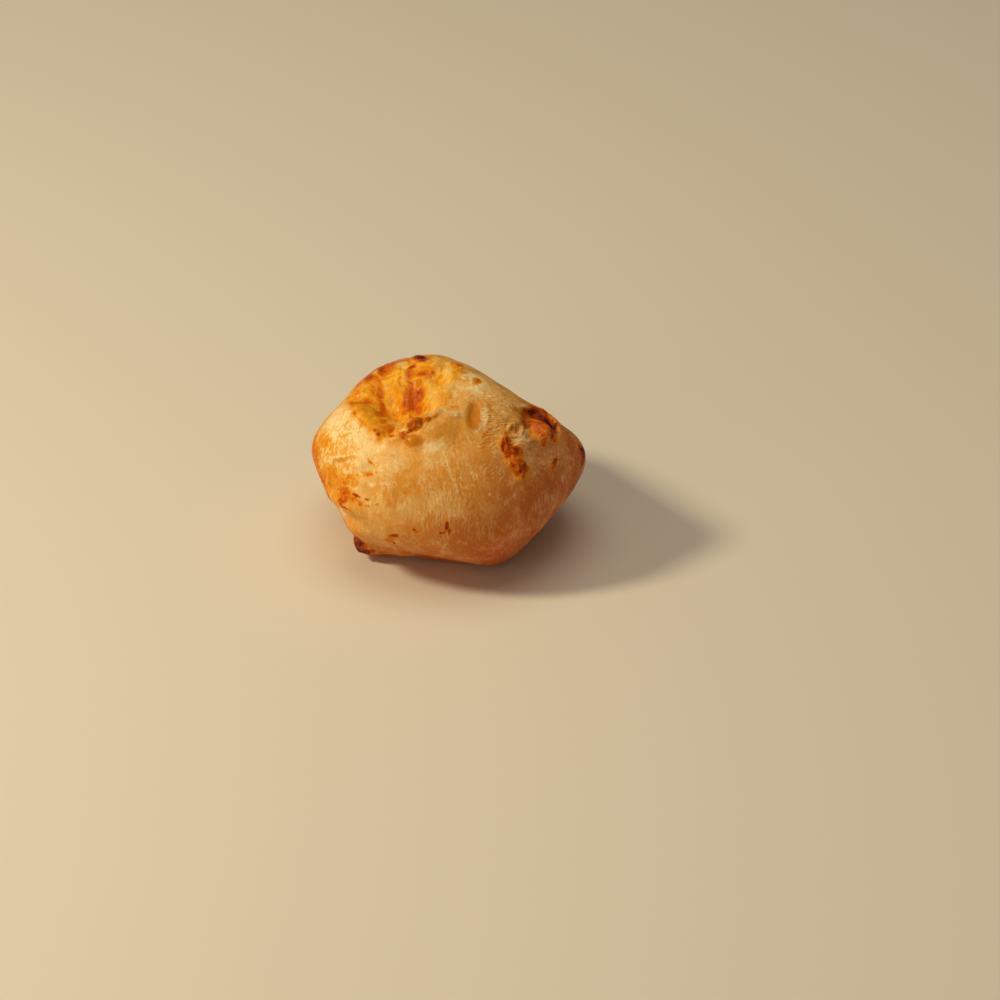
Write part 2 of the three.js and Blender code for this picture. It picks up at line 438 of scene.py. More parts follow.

# %% [markdown]
# ## Where the skin is baked
#
# The oven browns what stands proud and what is rich in cheese. One number from 0 to 1 says how
# far each point is baked: 0 is cream, a quarter is golden, a half is orange, and from three
# quarters on it is brown to black. Noise alone would strew the brown evenly, which a real ball
# never shows. So the places are listed one by one, with their azimuth and elevation, their half
# sizes in millimetres, their turn and their level.
# A few places in these tables are painted shade: the shaded sides of the lip knob and the black
# gap round the pit's lump. The lines along the foot are partly painted shade.

# %% Baked places on the burst top
BAKED_TOP = (
    ("rim far left", -108, 38, 3.2, 1.7, 30, 0.52),
    ("rim left", -112, 43, 3.1, 2.3, 31, 0.62),
    ("rim red", -120, 48, 2.8, 1.7, 31, 0.66),
    ("rim middle", -126, 51, 3.8, 2.8, 44, 0.62),
    ("rim beyond", -130, 42, 10, 3.2, 8, 0.58),
    ("rim end", -139, 52, 4.8, 2.6, 49, 0.64),
    ("top knob", -150, 60, 3.6, 1.9, 88, 0.86),
    ("top knob foot", -143, 67, 1.6, 1.5, 60, 0.74),
    ("knob line", -127, 65, 1.6, 0.7, -45, 0.72),
    ("far rim", -172, 62, 3.5, 1.4, -70, 0.42),
    ("far rim brown", 149, 76, 2, 1.1, -59, 0.64),
    ("far rim streak", 163, 79, 2.6, 0.6, -73, 0.48),
    ("red blotch", -115, 75, 3, 1.5, 78, 0.6),
    ("red blotch core", -112, 75, 1.7, 0.8, 65, 0.74),
    ("red dash", -124, 80, 0.9, 0.4, -36, 0.64),
    ("red dot", -118, 87, 0.6, 0.4, 45, 0.62),
    ("upper fold", -116, 66, 2.2, 1.5, 20, 0.5),
    ("fold line", -100, 68, 1.6, 0.57, 69, 0.6),
    ("deep fold", -75, 71, 3, 1.9, -2, 0.61),
    ("deep fold left", -78, 64, 3.8, 1.3, -22, 0.52),
    ("deep fold middle", -77, 67.5, 3.8, 1.9, -15, 0.57),
    ("deep fold foot", -65, 62, 2.7, 2.1, -45, 0.58),
    ("deep fold end", -52, 64, 2.6, 1.3, -15, 0.54),
    ("left fold head", -110, 48, 1.6, 0.8, 2, 0.42),
    ("left fold", -97, 49, 5.9, 0.92, -4, 0.46),
    ("left fold core", -73, 47, 5.5, 0.69, -12, 0.55),
    ("left fold foot", -52, 43, 2, 0.8, -30, 0.42),
    ("left amber", -98, 46, 4.4, 1.1, -4, 0.34),
    ("notch band", -85, 41, 3.1, 2.5, 7, 0.5),
    ("notch tip", -82, 38, 2.9, 0.69, 15, 0.58),
    ("notch dot", -70, 38, 1.1, 0.57, 6, 0.6),
    ("orange field", -72, 41, 5.6, 1.5, 4, 0.32),
    ("orange blob", -99, 38, 3.7, 1.4, 25, 0.38),
    ("floor gold", -46, 42, 3.4, 1.8, -1, 0.34),
    ("left lip", -60, 38, 5.5, 0.46, 0, 0.38),
    ("lip knob", -20.5, 47, 3.2, 2.1, 39, 0.47),
    # These two rows are painted shade on the lip knob's right and lower sides, away from the key
    # light.
    ("shaded right side of the lip knob", -16.5, 48, 1.8, 0.5, -72, 0.6),
    ("shaded underside of the lip knob", -22, 44, 1.9, 0.45, 31, 0.58),
    ("knob foot", -26.5, 41, 2.1, 1.3, -44, 0.6),
    ("knob foot edge", -25, 39.5, 1.1, 0.9, -44, 0.8),
    ("arm", -13, 50, 1.7, 0.92, 41, 0.52),
    ("arm knob", -8, 53, 1.5, 1.1, -88, 0.42),
    ("arm knob edge", -13, 55.5, 0.6, 0.4, -22, 0.74),
    ("arm right", -3, 52, 1.7, 1.1, -88, 0.38),
    ("amber by the arm", -1, 52, 1.6, 1.4, 81, 0.36),
    ("amber skin", 7, 49, 3.5, 2, -2, 0.22),
    ("small mark", -9, 61, 1.8, 0.7, -52, 0.38),
    ("gold streak", -147, 77, 1.9, 0.9, -72, 0.34),
    ("crumb gold", 40, 77, 2.4, 2.1, -66, 0.34),
    ("crumb brown", 44, 81, 1.3, 1.1, 74, 0.46),
    ("crumb rust", 72, 72, 1.6, 1.5, 35, 0.5),
    ("crumb dot", 59, 72, 0.7, 0.5, 11, 0.46),
    ("tooth gap a", 6, 60, 0.9, 0.5, -23, 0.38),
    ("tooth gap b", 11, 60, 0.9, 0.5, -25, 0.38),
    ("lobe dot", 5, 40, 0.6, 0.5, 59, 0.44),
    ("crack", 26, 42, 1, 0.45, -42, 0.38),
    ("crack end", 30, 40, 1.1, 0.45, -11, 0.34),
    ("rim right of the window", -137, 58, 3, 0.92, 53, 0.52),
    ("deep fold tail", -57, 55, 1.9, 1, 15, 0.46),
    ("gold right", -14, 65, 5.2, 1.3, -70, 0.22),
    ("lip bit a", -47, 38, 0.9, 0.46, -20, 0.62),
    ("lip bit b", -44, 37, 0.7, 0.45, -32, 0.78),
    ("lip bit c", -34, 39, 2, 0.46, 13, 0.6),
    ("lip bit d", -40, 37, 1.5, 0.45, -6, 0.46),
    ("bulge left", -24, 40, 1.3, 0.92, -59, 0.5),
)
print(len(BAKED_TOP), "baked places on top")

# %% [markdown]
# On the right lie the pit with its lump, a long brown crust, a streak and a few dots. Each
# crust is a wide light spot with small dark ones in it, which keeps it from looking painted on.

# %% Baked places on the right
BAKED_RIGHT = (
    ("pit inside", 74, 38, 4.3, 2.8, -21, 0.64),
    ("pit maroon", 77, 39, 3, 1.8, -40, 0.78),
    ("pit brown", 62, 37, 2, 0.8, 25, 0.64),
    ("pit left wall low", 58, 38, 2.7, 1.2, 50, 0.58),
    ("pit left wall", 66, 41.5, 2.4, 1.6, 16, 0.56),
    ("pit lump", 61.5, 32.5, 4.3, 3.2, 38, 0.6),
    # Painted shadow: the black gap reaching onto the lump's right flank.
    ("pit lump flank", 66, 29.5, 2.8, 1.6, 50, 1),
    ("pit lump right", 66, 30.5, 3.6, 1.3, 36, 0.74),
    # These two rows are painted shadow in the gap round the lump's far side, under the overhanging
    # skin; the dark rim is partly brown crust.
    ("pit gap", 72, 30, 5, 1.8, 40, 1),
    ("pit rim dark", 78, 34, 3.4, 1.5, 43, 0.82),
    ("pit lump foot", 57, 28, 1.5, 0.95, -67, 0.7),
    ("pit tail", 56, 27, 1.2, 0.45, -69, 0.8),
    ("string gap a", 48, 39, 1.2, 0.5, 39, 0.48),
    ("string gap b", 46, 41, 0.8, 0.45, 36, 0.42),
    ("string gap c", 50, 36, 1.2, 0.45, 24, 0.42),
    ("crust field", 38, 27, 7.2, 2.4, -70, 0.56),
    ("crust left", 36, 34, 3.7, 1.2, 63, 0.74),
    ("crust left core", 34, 35, 2.2, 0.53, 65, 0.8),
    ("crust top right", 38.5, 36, 2, 1.3, 31, 0.47),
    ("crust middle", 39, 29, 2.8, 2.2, 3, 0.64),
    ("crust middle line", 38, 26, 2, 1, -24, 0.74),
    ("crust foot", 38, 22, 3.2, 2.6, -16, 0.66),
    ("crust dot a", 40, 23, 1.9, 1.1, -19, 0.76),
    ("crust dot b", 35, 21, 1.1, 0.84, -15, 0.74),
    ("crust dot c", 34, 25, 1.2, 0.73, 75, 0.68),
    ("crust tail", 38, 19, 1.3, 0.84, 67, 0.66),
    ("streak", 58, 17.5, 2.8, 1.1, 30, 0.78),
    ("streak tail", 53, 14, 0.9, 0.5, -70, 0.58),
    ("faint spot", 52, 20, 1.3, 1.1, 38, 0.4),
    ("right flap", 78, 9, 5.4, 2, 75, 0.8),
    ("right dot a", 73, 22, 1.3, 0.73, -2, 0.44),
    ("right dot b", 67, 9, 1.3, 0.84, -43, 0.46),
)
print(len(BAKED_RIGHT), "baked places on the right")

# %% [markdown]
# The left cheek is golden with an orange belt under it, the foot knob is nearly black, and the
# front has small dark specks where cheese boiled through.

# %% Baked places on the left and at the foot
BAKED_LEFT = (
    ("edge band", -80, 8, 8, 5.8, -30, 0.43),
    ("edge band low", -70, 0, 7, 4, -30, 0.46),
    ("edge band foot", -60, -1, 4, 2, -10, 0.52),
    ("gold upper", -75, 19, 6.4, 3, 19, 0.33),
    ("arch line", -52, 22, 2.2, 0.45, 39, 0.38),
    ("arch right", -39, 25, 1.4, 0.45, -23, 0.48),
    ("arch end", -36, 24, 1, 0.45, -47, 0.34),
    ("gold middle", -50, 13, 6.3, 2.2, 15, 0.34),
    ("gold under the arch", -37, 20, 2.3, 0.8, 18, 0.36),
    ("orange patch", -66, 6, 4.8, 2.2, 39, 0.4),
    ("orange streak", -58, 12, 1.3, 0.6, -76, 0.4),
    ("belt orange", -49, 8, 3.5, 1.3, 20, 0.47),
    ("belt core", -47, 8, 1.9, 0.7, 20, 0.54),
    ("belt dark line", -42, 9, 1.6, 0.45, 1, 0.7),
    ("belt fold", -47, 5, 3.6, 1, 27, 0.54),
    ("belt fold line", -47, 2, 2.1, 0.5, -9, 0.68),
    ("belt pink", -44, 6, 2.4, 0.6, 14, 0.5),
    ("belt spot a", -36, 9, 0.9, 0.5, 14, 0.46),
    ("belt spot b", -39, 6, 0.8, 0.7, 69, 0.46),
    ("belt spot c", -36, 6, 1.5, 0.5, 22, 0.42),
    ("belt spot d", -31, 8, 1.1, 0.5, 28, 0.44),
    ("small ring on the cheek", -44, 17, 1, 0.8, 21, 0.32),
    ("cheek gold right", -29, 20, 1.3, 0.5, 14, 0.28),
    ("flap shade", -43, 1, 1.8, 0.9, -77, 0.38),
    ("front dot a", -21, 24, 0.8, 0.5, 79, 0.26),
    ("front dot b", -18, 16, 0.9, 0.6, -1, 0.38),
    ("front dot c", -12, 18, 0.5, 0.45, 6, 0.3),
    ("foot", -60, -33, 3.8, 2.8, 40, 0.9),
    ("foot low", -56, -36, 2.5, 1.6, -7, 0.9),
    ("foot trail", -50, -40, 3, 0.6, -6, 0.62),
    # Partly browning, partly painted shade along the bottom where the ball meets the plate.
    ("foot line", -40, -42, 4.6, 0.8, 8, 0.48),
    ("speck top", -24, -6.5, 1.7, 0.75, 22, 0.72),
    ("speck halo", -26, -10, 2.6, 1.4, 55, 0.44),
    ("speck dot", -25, -13, 0.7, 0.5, 69, 0.9),
    ("front dark dot", -14, -1, 0.55, 0.45, 23, 0.84),
    ("front dark halo", -13, -2, 1, 0.7, 11, 0.42),
    ("hook stem", 0.5, 2, 1.7, 0.6, 81, 0.76),
    ("hook foot", -1.5, -1.5, 1.3, 0.5, 15, 0.78),
    ("hook toe", 1.5, -1.2, 1.1, 0.45, 82, 0.8),
    ("freckle a", -2, 28, 0.7, 0.5, 82, 0.32),
    ("freckle b", 37, 12, 0.9, 0.5, -17, 0.36),
    ("freckle c", 52, 0, 0.7, 0.45, -40, 0.38),
    ("freckle d", 25, -3, 1.1, 0.45, -42, 0.4),
    ("freckle e", 23, -1, 0.5, 0.45, -23, 0.36),
    ("low amber right", -26, -1, 2.7, 1.9, 51, 0.24),
    ("arch dot", -34, 22, 0.4, 0.45, 25, 0.7),
)
print(len(BAKED_LEFT), "baked places on the left and in front")

# %% [markdown]
# The back and the underside are baked like the rest: a small tear with its own boil, a few
# crusts, brown lines along the foot, which are partly browning and partly painted shade where
# the ball meets the plate, and rings where the ball stood on the tin.

# %% Baked places on the back and under the ball
BAKED_BEHIND = (
    ("back knob", -166, 40, 2.6, 2, 0, 0.66),
    ("back knob foot", -160, 34, 1.6, 0.8, 40, 0.8),
    ("back tear rim", 172, 31, 6.5, 0.9, 10, 0.5),
    ("back tear fold", 170, 24, 5.5, 1.6, 25, 0.56),
    ("back tear corner", 158, 22, 1.8, 1.4, 0, 0.7),
    ("back boil", 178, 22, 3.2, 2.2, 20, 0.48),
    ("back boil edge", -174, 19, 2.2, 0.8, 50, 0.76),
    ("back crust", 148, 2, 4.6, 2.4, 25, 0.62),
    ("back crust core", 146, 1, 2.4, 1.1, 20, 0.8),
    ("back crust dot", 153, 6, 1.1, 0.8, 0, 0.84),
    ("back left crust", -150, 8, 3.4, 2, -20, 0.58),
    ("back left crust core", -148, 7, 1.6, 0.9, -20, 0.76),
    ("back fold", -128, -6, 7, 1.2, -10, 0.5),
    ("back fold core", -122, -6, 2.6, 0.7, -10, 0.64),
    ("back foot", 155, -42, 4.6, 2.4, 0, 0.82),
    # These foot lines are partly browning, partly painted shade where the ball meets the plate.
    ("back foot line", 130, -41, 6, 1, 0, 0.52),
    ("left foot line", -95, -40, 7, 1, 0, 0.5),
    ("right foot line", 75, -40, 8, 1, 5, 0.46),
    ("back spot a", -175, -6, 1.5, 1, 20, 0.6),
    ("back spot b", 120, -12, 1, 1.6, -10, 0.56),
    ("back spot c", -108, -12, 1.3, 0.8, 0, 0.6),
    ("back spot d", 105, 25, 1.2, 0.9, 30, 0.5),
    ("back spot e", -140, 26, 0.8, 0.7, 0, 0.6),
    ("back dot a", 160, 48, 0.6, 0.7, 0, 0.62),
    ("back dot b", 134, 38, 0.6, 0.5, 0, 0.5),
    ("back dot c", 178, -20, 0.5, 0.5, 0, 0.8),
    ("right low dot", 96, -8, 0.7, 0.5, 0, 0.7),
    ("underside ring a", 40, -72, 6, 2, 20, 0.44),
    ("underside ring b", 160, -70, 7, 2.2, -10, 0.46),
    ("underside ring c", -80, -72, 6, 1.8, 0, 0.42),
    ("underside middle", 0, -90, 7, 5, 0, 0.34),
    ("underside spot", 60, -84, 1.6, 1.2, 0, 0.6),
)
print(len(BAKED_BEHIND), "baked places behind and below")

# %% [markdown]
# Between those places the skin is golden in wide, faint areas. They are kept in a table of
# their own, because they colour the skin but never roughen it as a crust does. Each table is
# then turned into one number for each point, the strongest of its spots.

# %% Wide golden places
GILDED = (
    ("cheek", -60, 16, 13, 11, 0, 0.23),
    ("cheek low", -60, 8, 9.5, 5.5, 15, 0.33),
    ("left side", -92, 2, 10, 12, 0, 0.36),
    ("belt", -50, 4, 8, 3.6, 15, 0.32),
    ("under the belt", -44, -10, 9, 6, -28, 0.27),
    ("burst floor", -80, 56, 12, 10, 0, 0.26),
    ("back rim", -135, 42, 14, 5, 0, 0.34),
    ("top behind", -170, 66, 6, 5, 0, 0.26),
    ("beside the pit", 66, 36, 6, 5, 0, 0.24),
    ("flap by the pit", 46, 33, 4.2, 2.4, -15, 0.24),
    ("front amber", -22, 7, 3, 2, 5, 0.2),
    ("yellow strip", -27, 25, 9, 3.4, -57, 0.14),
    ("right window", 42, -5, 4, 2, -37, 0.22),
    ("low window", 6, -7, 4, 1.6, -3, 0.2),
    ("back", 165, 14, 12, 9, 0, 0.26),
    ("back left", -128, 0, 10, 8, 0, 0.25),
    ("foot", -60, -36, 9, 4, 0, 0.22),
    ("back foot", 150, -42, 14, 5, 0, 0.3),
    ("right foot", 60, -44, 14, 4, 0, 0.26),
    # Partly a browner rim, partly painted warm shade on the side away from the key light.
    ("right rim", 90, 6, 7, 12, 0, 0.3),
    ("crumbs", 48, 75, 3.6, 2.8, 0, 0.24),
    ("underside", 0, -90, 15, 14, 0, 0.24),
)
baked = strongest(BAKED_TOP, soft=0.75, ragged=0.25)
baked = np.maximum(baked, strongest(BAKED_RIGHT + BAKED_LEFT, soft=0.65, ragged=0.3))
baked = np.maximum(baked, strongest(BAKED_BEHIND, soft=0.7, ragged=0.35))
gilded = strongest(GILDED, soft=0.8, ragged=0.4)
print("brown points:", int((baked > 0.6).sum()))

# %% [markdown]
# ## Where the skin stays pale
#
# Where the skin is thin and dry it turns milky, and where dough tore and set as strings it
# stays nearly white. These places are listed in the same way. A few rows are painted
# highlights instead: glints on the rim, in the pocket under the lip and on the pit's rim, and
# the lit tops of the cheek's bumps.

# %% Pale places
PALE = (
    # A painted highlight: a glint on the rim.
    ("rim glint", -116, 46, 1.2, 0.8, 13, 0.7),
    ("gold lobe", -103, 53, 2.4, 1.2, 2, 0.5),
    ("gold lobe top", -112, 58, 2.8, 1.5, 24, 0.4),
    ("gold strand", -106, 63, 2.9, 0.5, 7, 0.6),
    ("left cream", -94, 42, 1.4, 0.7, 49, 0.5),
    ("left cream top", -101, 42, 1, 0.9, 10, 0.5),
    # These two rows are painted highlights: glints in the pocket under the lip.
    ("pocket glint", -46, 46, 2.8, 0.9, -8, 0.8),
    ("pocket glint low", -30, 43, 1.4, 0.45, 16, 0.6),
    ("right wall", -23, 72, 8.5, 2.6, -60, 0.62),
    ("right wall low", -13, 55, 3, 1.4, -80, 0.35),
    ("top gold", -151, 80, 2.1, 1.6, 51, 0.55),
    ("far rim light", -166, 65, 2.6, 0.8, -90, 0.45),
    ("top right cream", 178, 85, 4.2, 1.5, -83, 0.85),
    ("top right cream low", 2, 78, 5.1, 1.7, -85, 0.75),
    ("top right bead", 11, 71, 2.4, 1.8, 76, 0.7),
    ("top right", 30, 76, 5, 3.2, 88, 0.55),
    ("top pale", 46, 66, 2.8, 2.3, 75, 0.55),
    ("upper right", 58, 57, 8, 4, -30, 0.35),
    ("teeth", 8, 56, 2.3, 1.1, -3, 0.8),
    ("teeth right", 15, 58, 2.1, 0.7, 76, 0.5),
    ("teeth foot", 8, 54.5, 2.4, 0.5, -7, 0.7),
    ("dimple curtain", 32, 51.5, 3.4, 0.9, 59, 0.95),
    ("dimple curtain foot", 22, 45, 1.7, 0.6, 18, 0.7),
    ("dimple left rim", 19, 58, 3, 0.5, 72, 0.3),
    ("arch light", -60, 19, 3.2, 0.6, 31, 0.5),
    ("arch light left", -65, 15, 1.8, 0.8, 26, 0.4),
    ("flakes a", -57, 31, 2.2, 1.5, -45, 0.5),
    ("flakes b", -60, 26, 2.2, 1.2, -79, 0.4),
    ("flakes c", -53, 25, 2, 0.9, 19, 0.5),
    ("flakes d", -43, 31, 1.4, 0.9, 11, 0.5),
    ("cheek cream", -69, 27, 4.5, 1.7, 33, 0.45),
    ("cheek front", -36, 33, 2.6, 1.9, -33, 0.65),
    ("cheek front low", -32, 25, 3.2, 1.6, 60, 0.6),
    ("yellow crumb", 20, 15, 0.45, 0.45, 0, 0.9),
    ("ridge bead", -33, 24, 1, 0.7, -80, 0.6),
    ("blister", -45, 23, 3.1, 1.5, 12, 0.6),
    ("streak light a", -54, 14, 1.3, 0.9, -78, 0.4),
    ("streak light b", -50, 15, 1.2, 0.5, -77, 0.4),
    # The cheek bumps are raised pale blisters with painted highlights on their lit tops.
    ("cheek bump a", -40, 16, 1, 0.8, 18, 0.65),
    ("cheek bump b", -35, 16, 1.1, 0.7, 21, 0.75),
    ("cheek bump c", -30, 18, 1, 0.7, 17, 0.65),
    ("cheek bump d", -27, 19, 1.1, 0.8, 15, 0.9),
    ("cheek bump e", -62, 7, 1.2, 0.6, 43, 0.4),
    ("lower front", -32, 5, 3, 1.1, 18, 0.45),
    ("shoulder", -86, 29, 7, 3.6, 26, 0.5),
    ("shoulder low", -77, 26, 4, 2, 25, 0.4),
    ("lobe light", -8, 37.5, 2.8, 1.8, 20, 0.95),
    ("lobe light left", -15, 37, 1.4, 1, 23, 0.45),
    ("milky middle", -7, 32, 4, 3, 0, 0.35),
    ("pit rim", 70, 45, 3.6, 0.6, -35, 0.6),
    ("pit rim right", 80, 29, 3.4, 0.6, 50, 0.5),
    ("string a", 51, 37, 1.9, 0.5, 27, 0.8),
    ("string b", 53, 35, 1.8, 0.7, 12, 0.9),
    ("string c", 49, 42, 0.6, 0.5, -16, 0.7),
    ("string d", 44, 42, 1, 0.5, 26, 0.5),
    ("string foot", 47, 35, 2.7, 0.6, -30, 0.6),
    ("cream flap", 46, 33, 2.4, 1.1, -15, 0.75),
    ("cream flap right", 52, 31, 1.6, 0.5, -16, 0.45),
    ("crust light a", 36, 23, 0.5, 0.5, -57, 0.8),
    ("crust light b", 43, 23, 0.8, 0.7, 20, 0.6),
    ("crust light c", 37, 28, 0.9, 0.45, -17, 0.5),
    # Painted highlights: glints on the dark rim of the pit.
    ("pit rim glints", 86, 37, 3, 1.2, 30, 0.6),
    ("crumpled band", 28, 24, 2.9, 1.1, 41, 0.4),
    ("seam beads", -25, 14, 1.8, 0.5, -80, 0.5),
    ("left flap", -60, -12, 7, 1.6, 42, 0.6),
    ("right edge", 77, -1, 6, 0.8, -43, 0.3),
    ("right bloom", 56, 22, 9, 5, -30, 0.4),
    ("meander", 2, 27, 7.1, 0.6, -71, 0.65),
    ("meander low", 1, 11, 6, 0.5, -80, 0.5),
    ("front of the cheek", -27, 30, 4.4, 4.2, 0, 0.6),
    ("low vein", 0, -9, 5.6, 0.5, -75, 0.3),
    ("back light a", 135, 30, 6, 4, 20, 0.5),
    ("back light b", -170, 52, 5, 2.5, 0, 0.5),
    ("back light c", 160, 8, 3, 1, -20, 0.6),
    ("back light d", -120, 18, 6, 3, 10, 0.5),
    ("right side", 100, 5, 6, 5, 0, 0.35),
    ("window in the rim", -129, 58, 2.6, 1.4, 32, 0.95),
    ("middle strand", -83, 53, 2.7, 0.8, -19, 0.45),
    ("ridge", 8, 54, 3.7, 0.45, 2, 0.6),
    ("cheek cream mid", -56, 30, 3.7, 2.1, 16, 0.45),
)
pale = strongest(PALE, soft=0.8, ragged=0.3)
print("pale points:", int((pale > 0.3).sum()))

# %% [markdown]
# ## Glassy places
#
# Over a hollow the skin is thin, and the fat underneath shows through it as a dark olive gold.
# A see-through layer could do that, but a darker colour with a soft edge looks the same on so
# thin a skin and stays in the one material.

# %% Glassy places
GLASSY = (
    ("dimple", 24, 53.5, 4.3, 1.6, 64, 1),
    ("dimple foot", 21, 49, 1.7, 1.2, 50, 0.9),
    ("olive pool", -96, 72, 1.6, 1, 48, 0.9),
    # The bulge is darker partly as thin skin over fat, partly as painted shade under the lip knob.
    ("bulge", -19.5, 39.5, 2.5, 1.6, 9, 0.95),
    ("arch", -56, 19, 3.5, 0.8, 37, 0.45),
    ("flap in the pit", 54, 30, 1.9, 1, -21, 0.45),
    ("low amber", -38, -3, 5, 2.4, 15, 0.35),
    ("cheek drop", -26, 20, 1.6, 1, 10, 0.3),
    ("back boil", 178, 22, 2.4, 1.5, 20, 0.7),
    ("back pool", -128, 24, 2.8, 1.3, 30, 0.7),
    ("right pool", 98, 14, 1.8, 1, 20, 0.6),
)
glassy = strongest(GLASSY, soft=0.6, ragged=0.3)
print("glassy points:", int((glassy > 0.3).sum()))

# %% [markdown]
# ## The burst top
#
# Where the top burst, the skin ends in a thin, torn lip. Inside, the melted cheese was pulled
# into strands from the back rim down to the front lip, and it blistered in the heat. The lip
# is raised a little and the wall behind it is filled with cheese. The strands are noise that is
# stretched along the way the cheese was pulled, and a few broad folds lie between them.

# %% The burst hollow
# A hollow's walls are flat: each is the side it faces and its distance from the middle.
CRATER = {"azimuth": -62, "elevation": 60, "turn": 58.5, "reach": 28.6}
CRATER_WALLS = ((210, 9.6), (291, 11.6), (350, 12.5), (78, 15.0), (140, 15.5))
CHEESE_WALLS = ((210, 11.0), (291, 11.8), (350, 14.5), (78, 21.5), (140, 19.5))
TEAR_RAGGED = 0.35
STRAND_WIDE, STRAND_LONG = 1.3, 6.0
BLISTER_WIDE = 2.1


def raggedness(x, y):
    """The torn rim's own way in and out, the same as the solid's."""
    wave = 0.6 * np.sin(0.75 * x + 1.3) * np.cos(0.8 * y - 0.4)
    return wave + 0.4 * np.sin(1.35 * x - 1.1 * y)


def inside_of(x, y, walls, ragged):
    """Millimetres inside a hollow's rim, less than 0 outside it."""
    depths = []
    for towards, reach in walls:
        angle = math.radians(towards)
        edge = reach + ragged * raggedness(x, y)
        depths.append(edge - x * math.cos(angle) - y * math.sin(angle))
    return np.min(depths, axis=0)


crater_x, crater_y = local(**CRATER)
tear = TEAR_RAGGED * cloud(points, 1.4)
inside = inside_of(crater_x, crater_y, CRATER_WALLS, 1.0) + tear
in_crater = ramp(inside, -0.2, 0.8)
in_cheese = ramp(inside_of(crater_x, crater_y, CHEESE_WALLS, 1.0) + tear, -0.4, 0.8)
front_half = 1.0 - ramp(crater_y, -2.0, 5.0)
pulled = cloud(sheet(crater_x / STRAND_WIDE, crater_y / STRAND_LONG), 1.0, 3)
blister_middle = cells(points, BLISTER_WIDE)[0]

FOLDS = (
    ("deep fold", -78, 69, 5.6, 3, -20, 1),
    ("deep fold foot", -60, 61, 4.4, 2.4, -34, 0.8),
    ("left fold", -96, 49, 6, 1.3, -4, 0.8),
    ("left fold foot", -72, 46, 5.4, 1.1, -12, 0.8),
    ("short streak", -113, 74, 2.4, 0.8, 71, 0.6),
)
folds = strongest(FOLDS, soft=0.8, ragged=0.15)
LIP_RISE, LIP_UNEVEN = 0.22, 0.25
WALL_FILL = 0.4
BLISTER_RISE, GRAIN_RISE = 0.16, 0.08
STRAND_RISE = 0.2
FOLD_DEPTH = 0.35


def carve_crater():
    """The raised lip, the filled wall behind it and the cheese on the floor."""
    lip = np.exp(-((inside + 0.5) / 0.6) ** 2) * front_half
    rough_lip = LIP_RISE + LIP_UNEVEN * cloud(points, 1.7, shift=3.0)
    wall = ramp(inside, -0.3, 0.9) * (1.0 - ramp(inside, 1.5, 4.5)) * front_half
    blisters = BLISTER_RISE * (0.5 - blister_middle) + GRAIN_RISE * cloud(points, 1.0, 2, 5.0)
    floor_relief = STRAND_RISE * pulled + blisters - FOLD_DEPTH * folds
    return lip * rough_lip + WALL_FILL * wall + in_crater * floor_relief


height += carve_crater()
print("the burst hollow covers", int(in_crater.sum()), "points")

# %% [markdown]
# ## Knobs and the pit
#
# Cheese that boiled out through the skin set as small brown knobs, like bits of toffee. Their
# own surface is bubbly. A larger lump sits in the pit on the right, with a black gap round
# its far side, and a few pale strings of dough cross the gap on its near side. All of these
# grew out of the skin, so they are carved from the same net and have no seam round them.

# %% Knobs, lump, gap and strings
LUMPS = (
    ("lip knob", -22, 46.8, 2.6, 1.9, 42, 1),
    ("lip knob foot", -27, 40.5, 1.8, 1.4, 60, 1),
    ("top knob", -140, 67, 2.8, 2.1, -30, 1),
    ("pit lump", 63, 33, 3.4, 2.4, 40, 1),
    ("foot knob", -57, -35, 3.9, 3, 10, 1),
    ("back knob", -166, 40, 2.5, 2, 0, 1),
    ("back lump", 178, 22, 3.9, 2.6, 20, 1),
)
STRINGS = (
    ("string a", 51, 37, 2, 0.45, 30, 1),
    ("string b", 54, 35, 1.8, 0.6, 14, 1),
    ("string c", 48, 41.5, 0.8, 0.5, -16, 0.6),
    ("string d", 44, 41, 1.3, 0.45, 26, 0.7),
    ("string foot", 46, 35.5, 2.2, 0.45, -28, 0.8),
)
STRING_GAPS = (
    ("gap a", 48.5, 38.5, 1.3, 0.6, 36, 1),
    ("gap b", 46, 40, 0.9, 0.45, 36, 0.6),
    ("gap c", 52, 34, 1.3, 0.4, 22, 0.8),
)
knobs = strongest(LUMPS, soft=0.3, ragged=0.15)

PIT = {"azimuth": 66, "elevation": 36, "turn": -35, "reach": 31.0}
PIT_WALLS = ((0, 5.2), (90, 4.0), (180, 5.0), (270, 4.2))
BACK_TEAR = {"azimuth": 172, "elevation": 24, "turn": 18, "reach": 33.0}
BACK_TEAR_WALLS = ((10, 7.5), (95, 4.2), (190, 6.5), (265, 4.6))
in_pit = ramp(inside_of(*local(**PIT), PIT_WALLS, 0.4), -0.1, 0.7)
in_tear = ramp(inside_of(*local(**BACK_TEAR), BACK_TEAR_WALLS, 0.6), -0.1, 0.8)
PIT_GAPS = ((72, 28.5, 3.8, 0.9, 39), (72, 40, 2.4, 0.8, -42))
PIT_GAP_DEPTH = 1.2
STRING_RISE = 0.45
STRING_GAP_SHARE = 0.9
TEAR_ROUGHNESS = 0.3
KNOB_LUMPS, KNOB_BUBBLES = 0.26, 0.3


def carve_knobs():
    """Bubbles all over the knobs."""
    lumps = KNOB_LUMPS * cloud(points, 1.2, 2, 11.0)
    return knobs * (lumps + KNOB_BUBBLES * (0.45 - blister_middle))


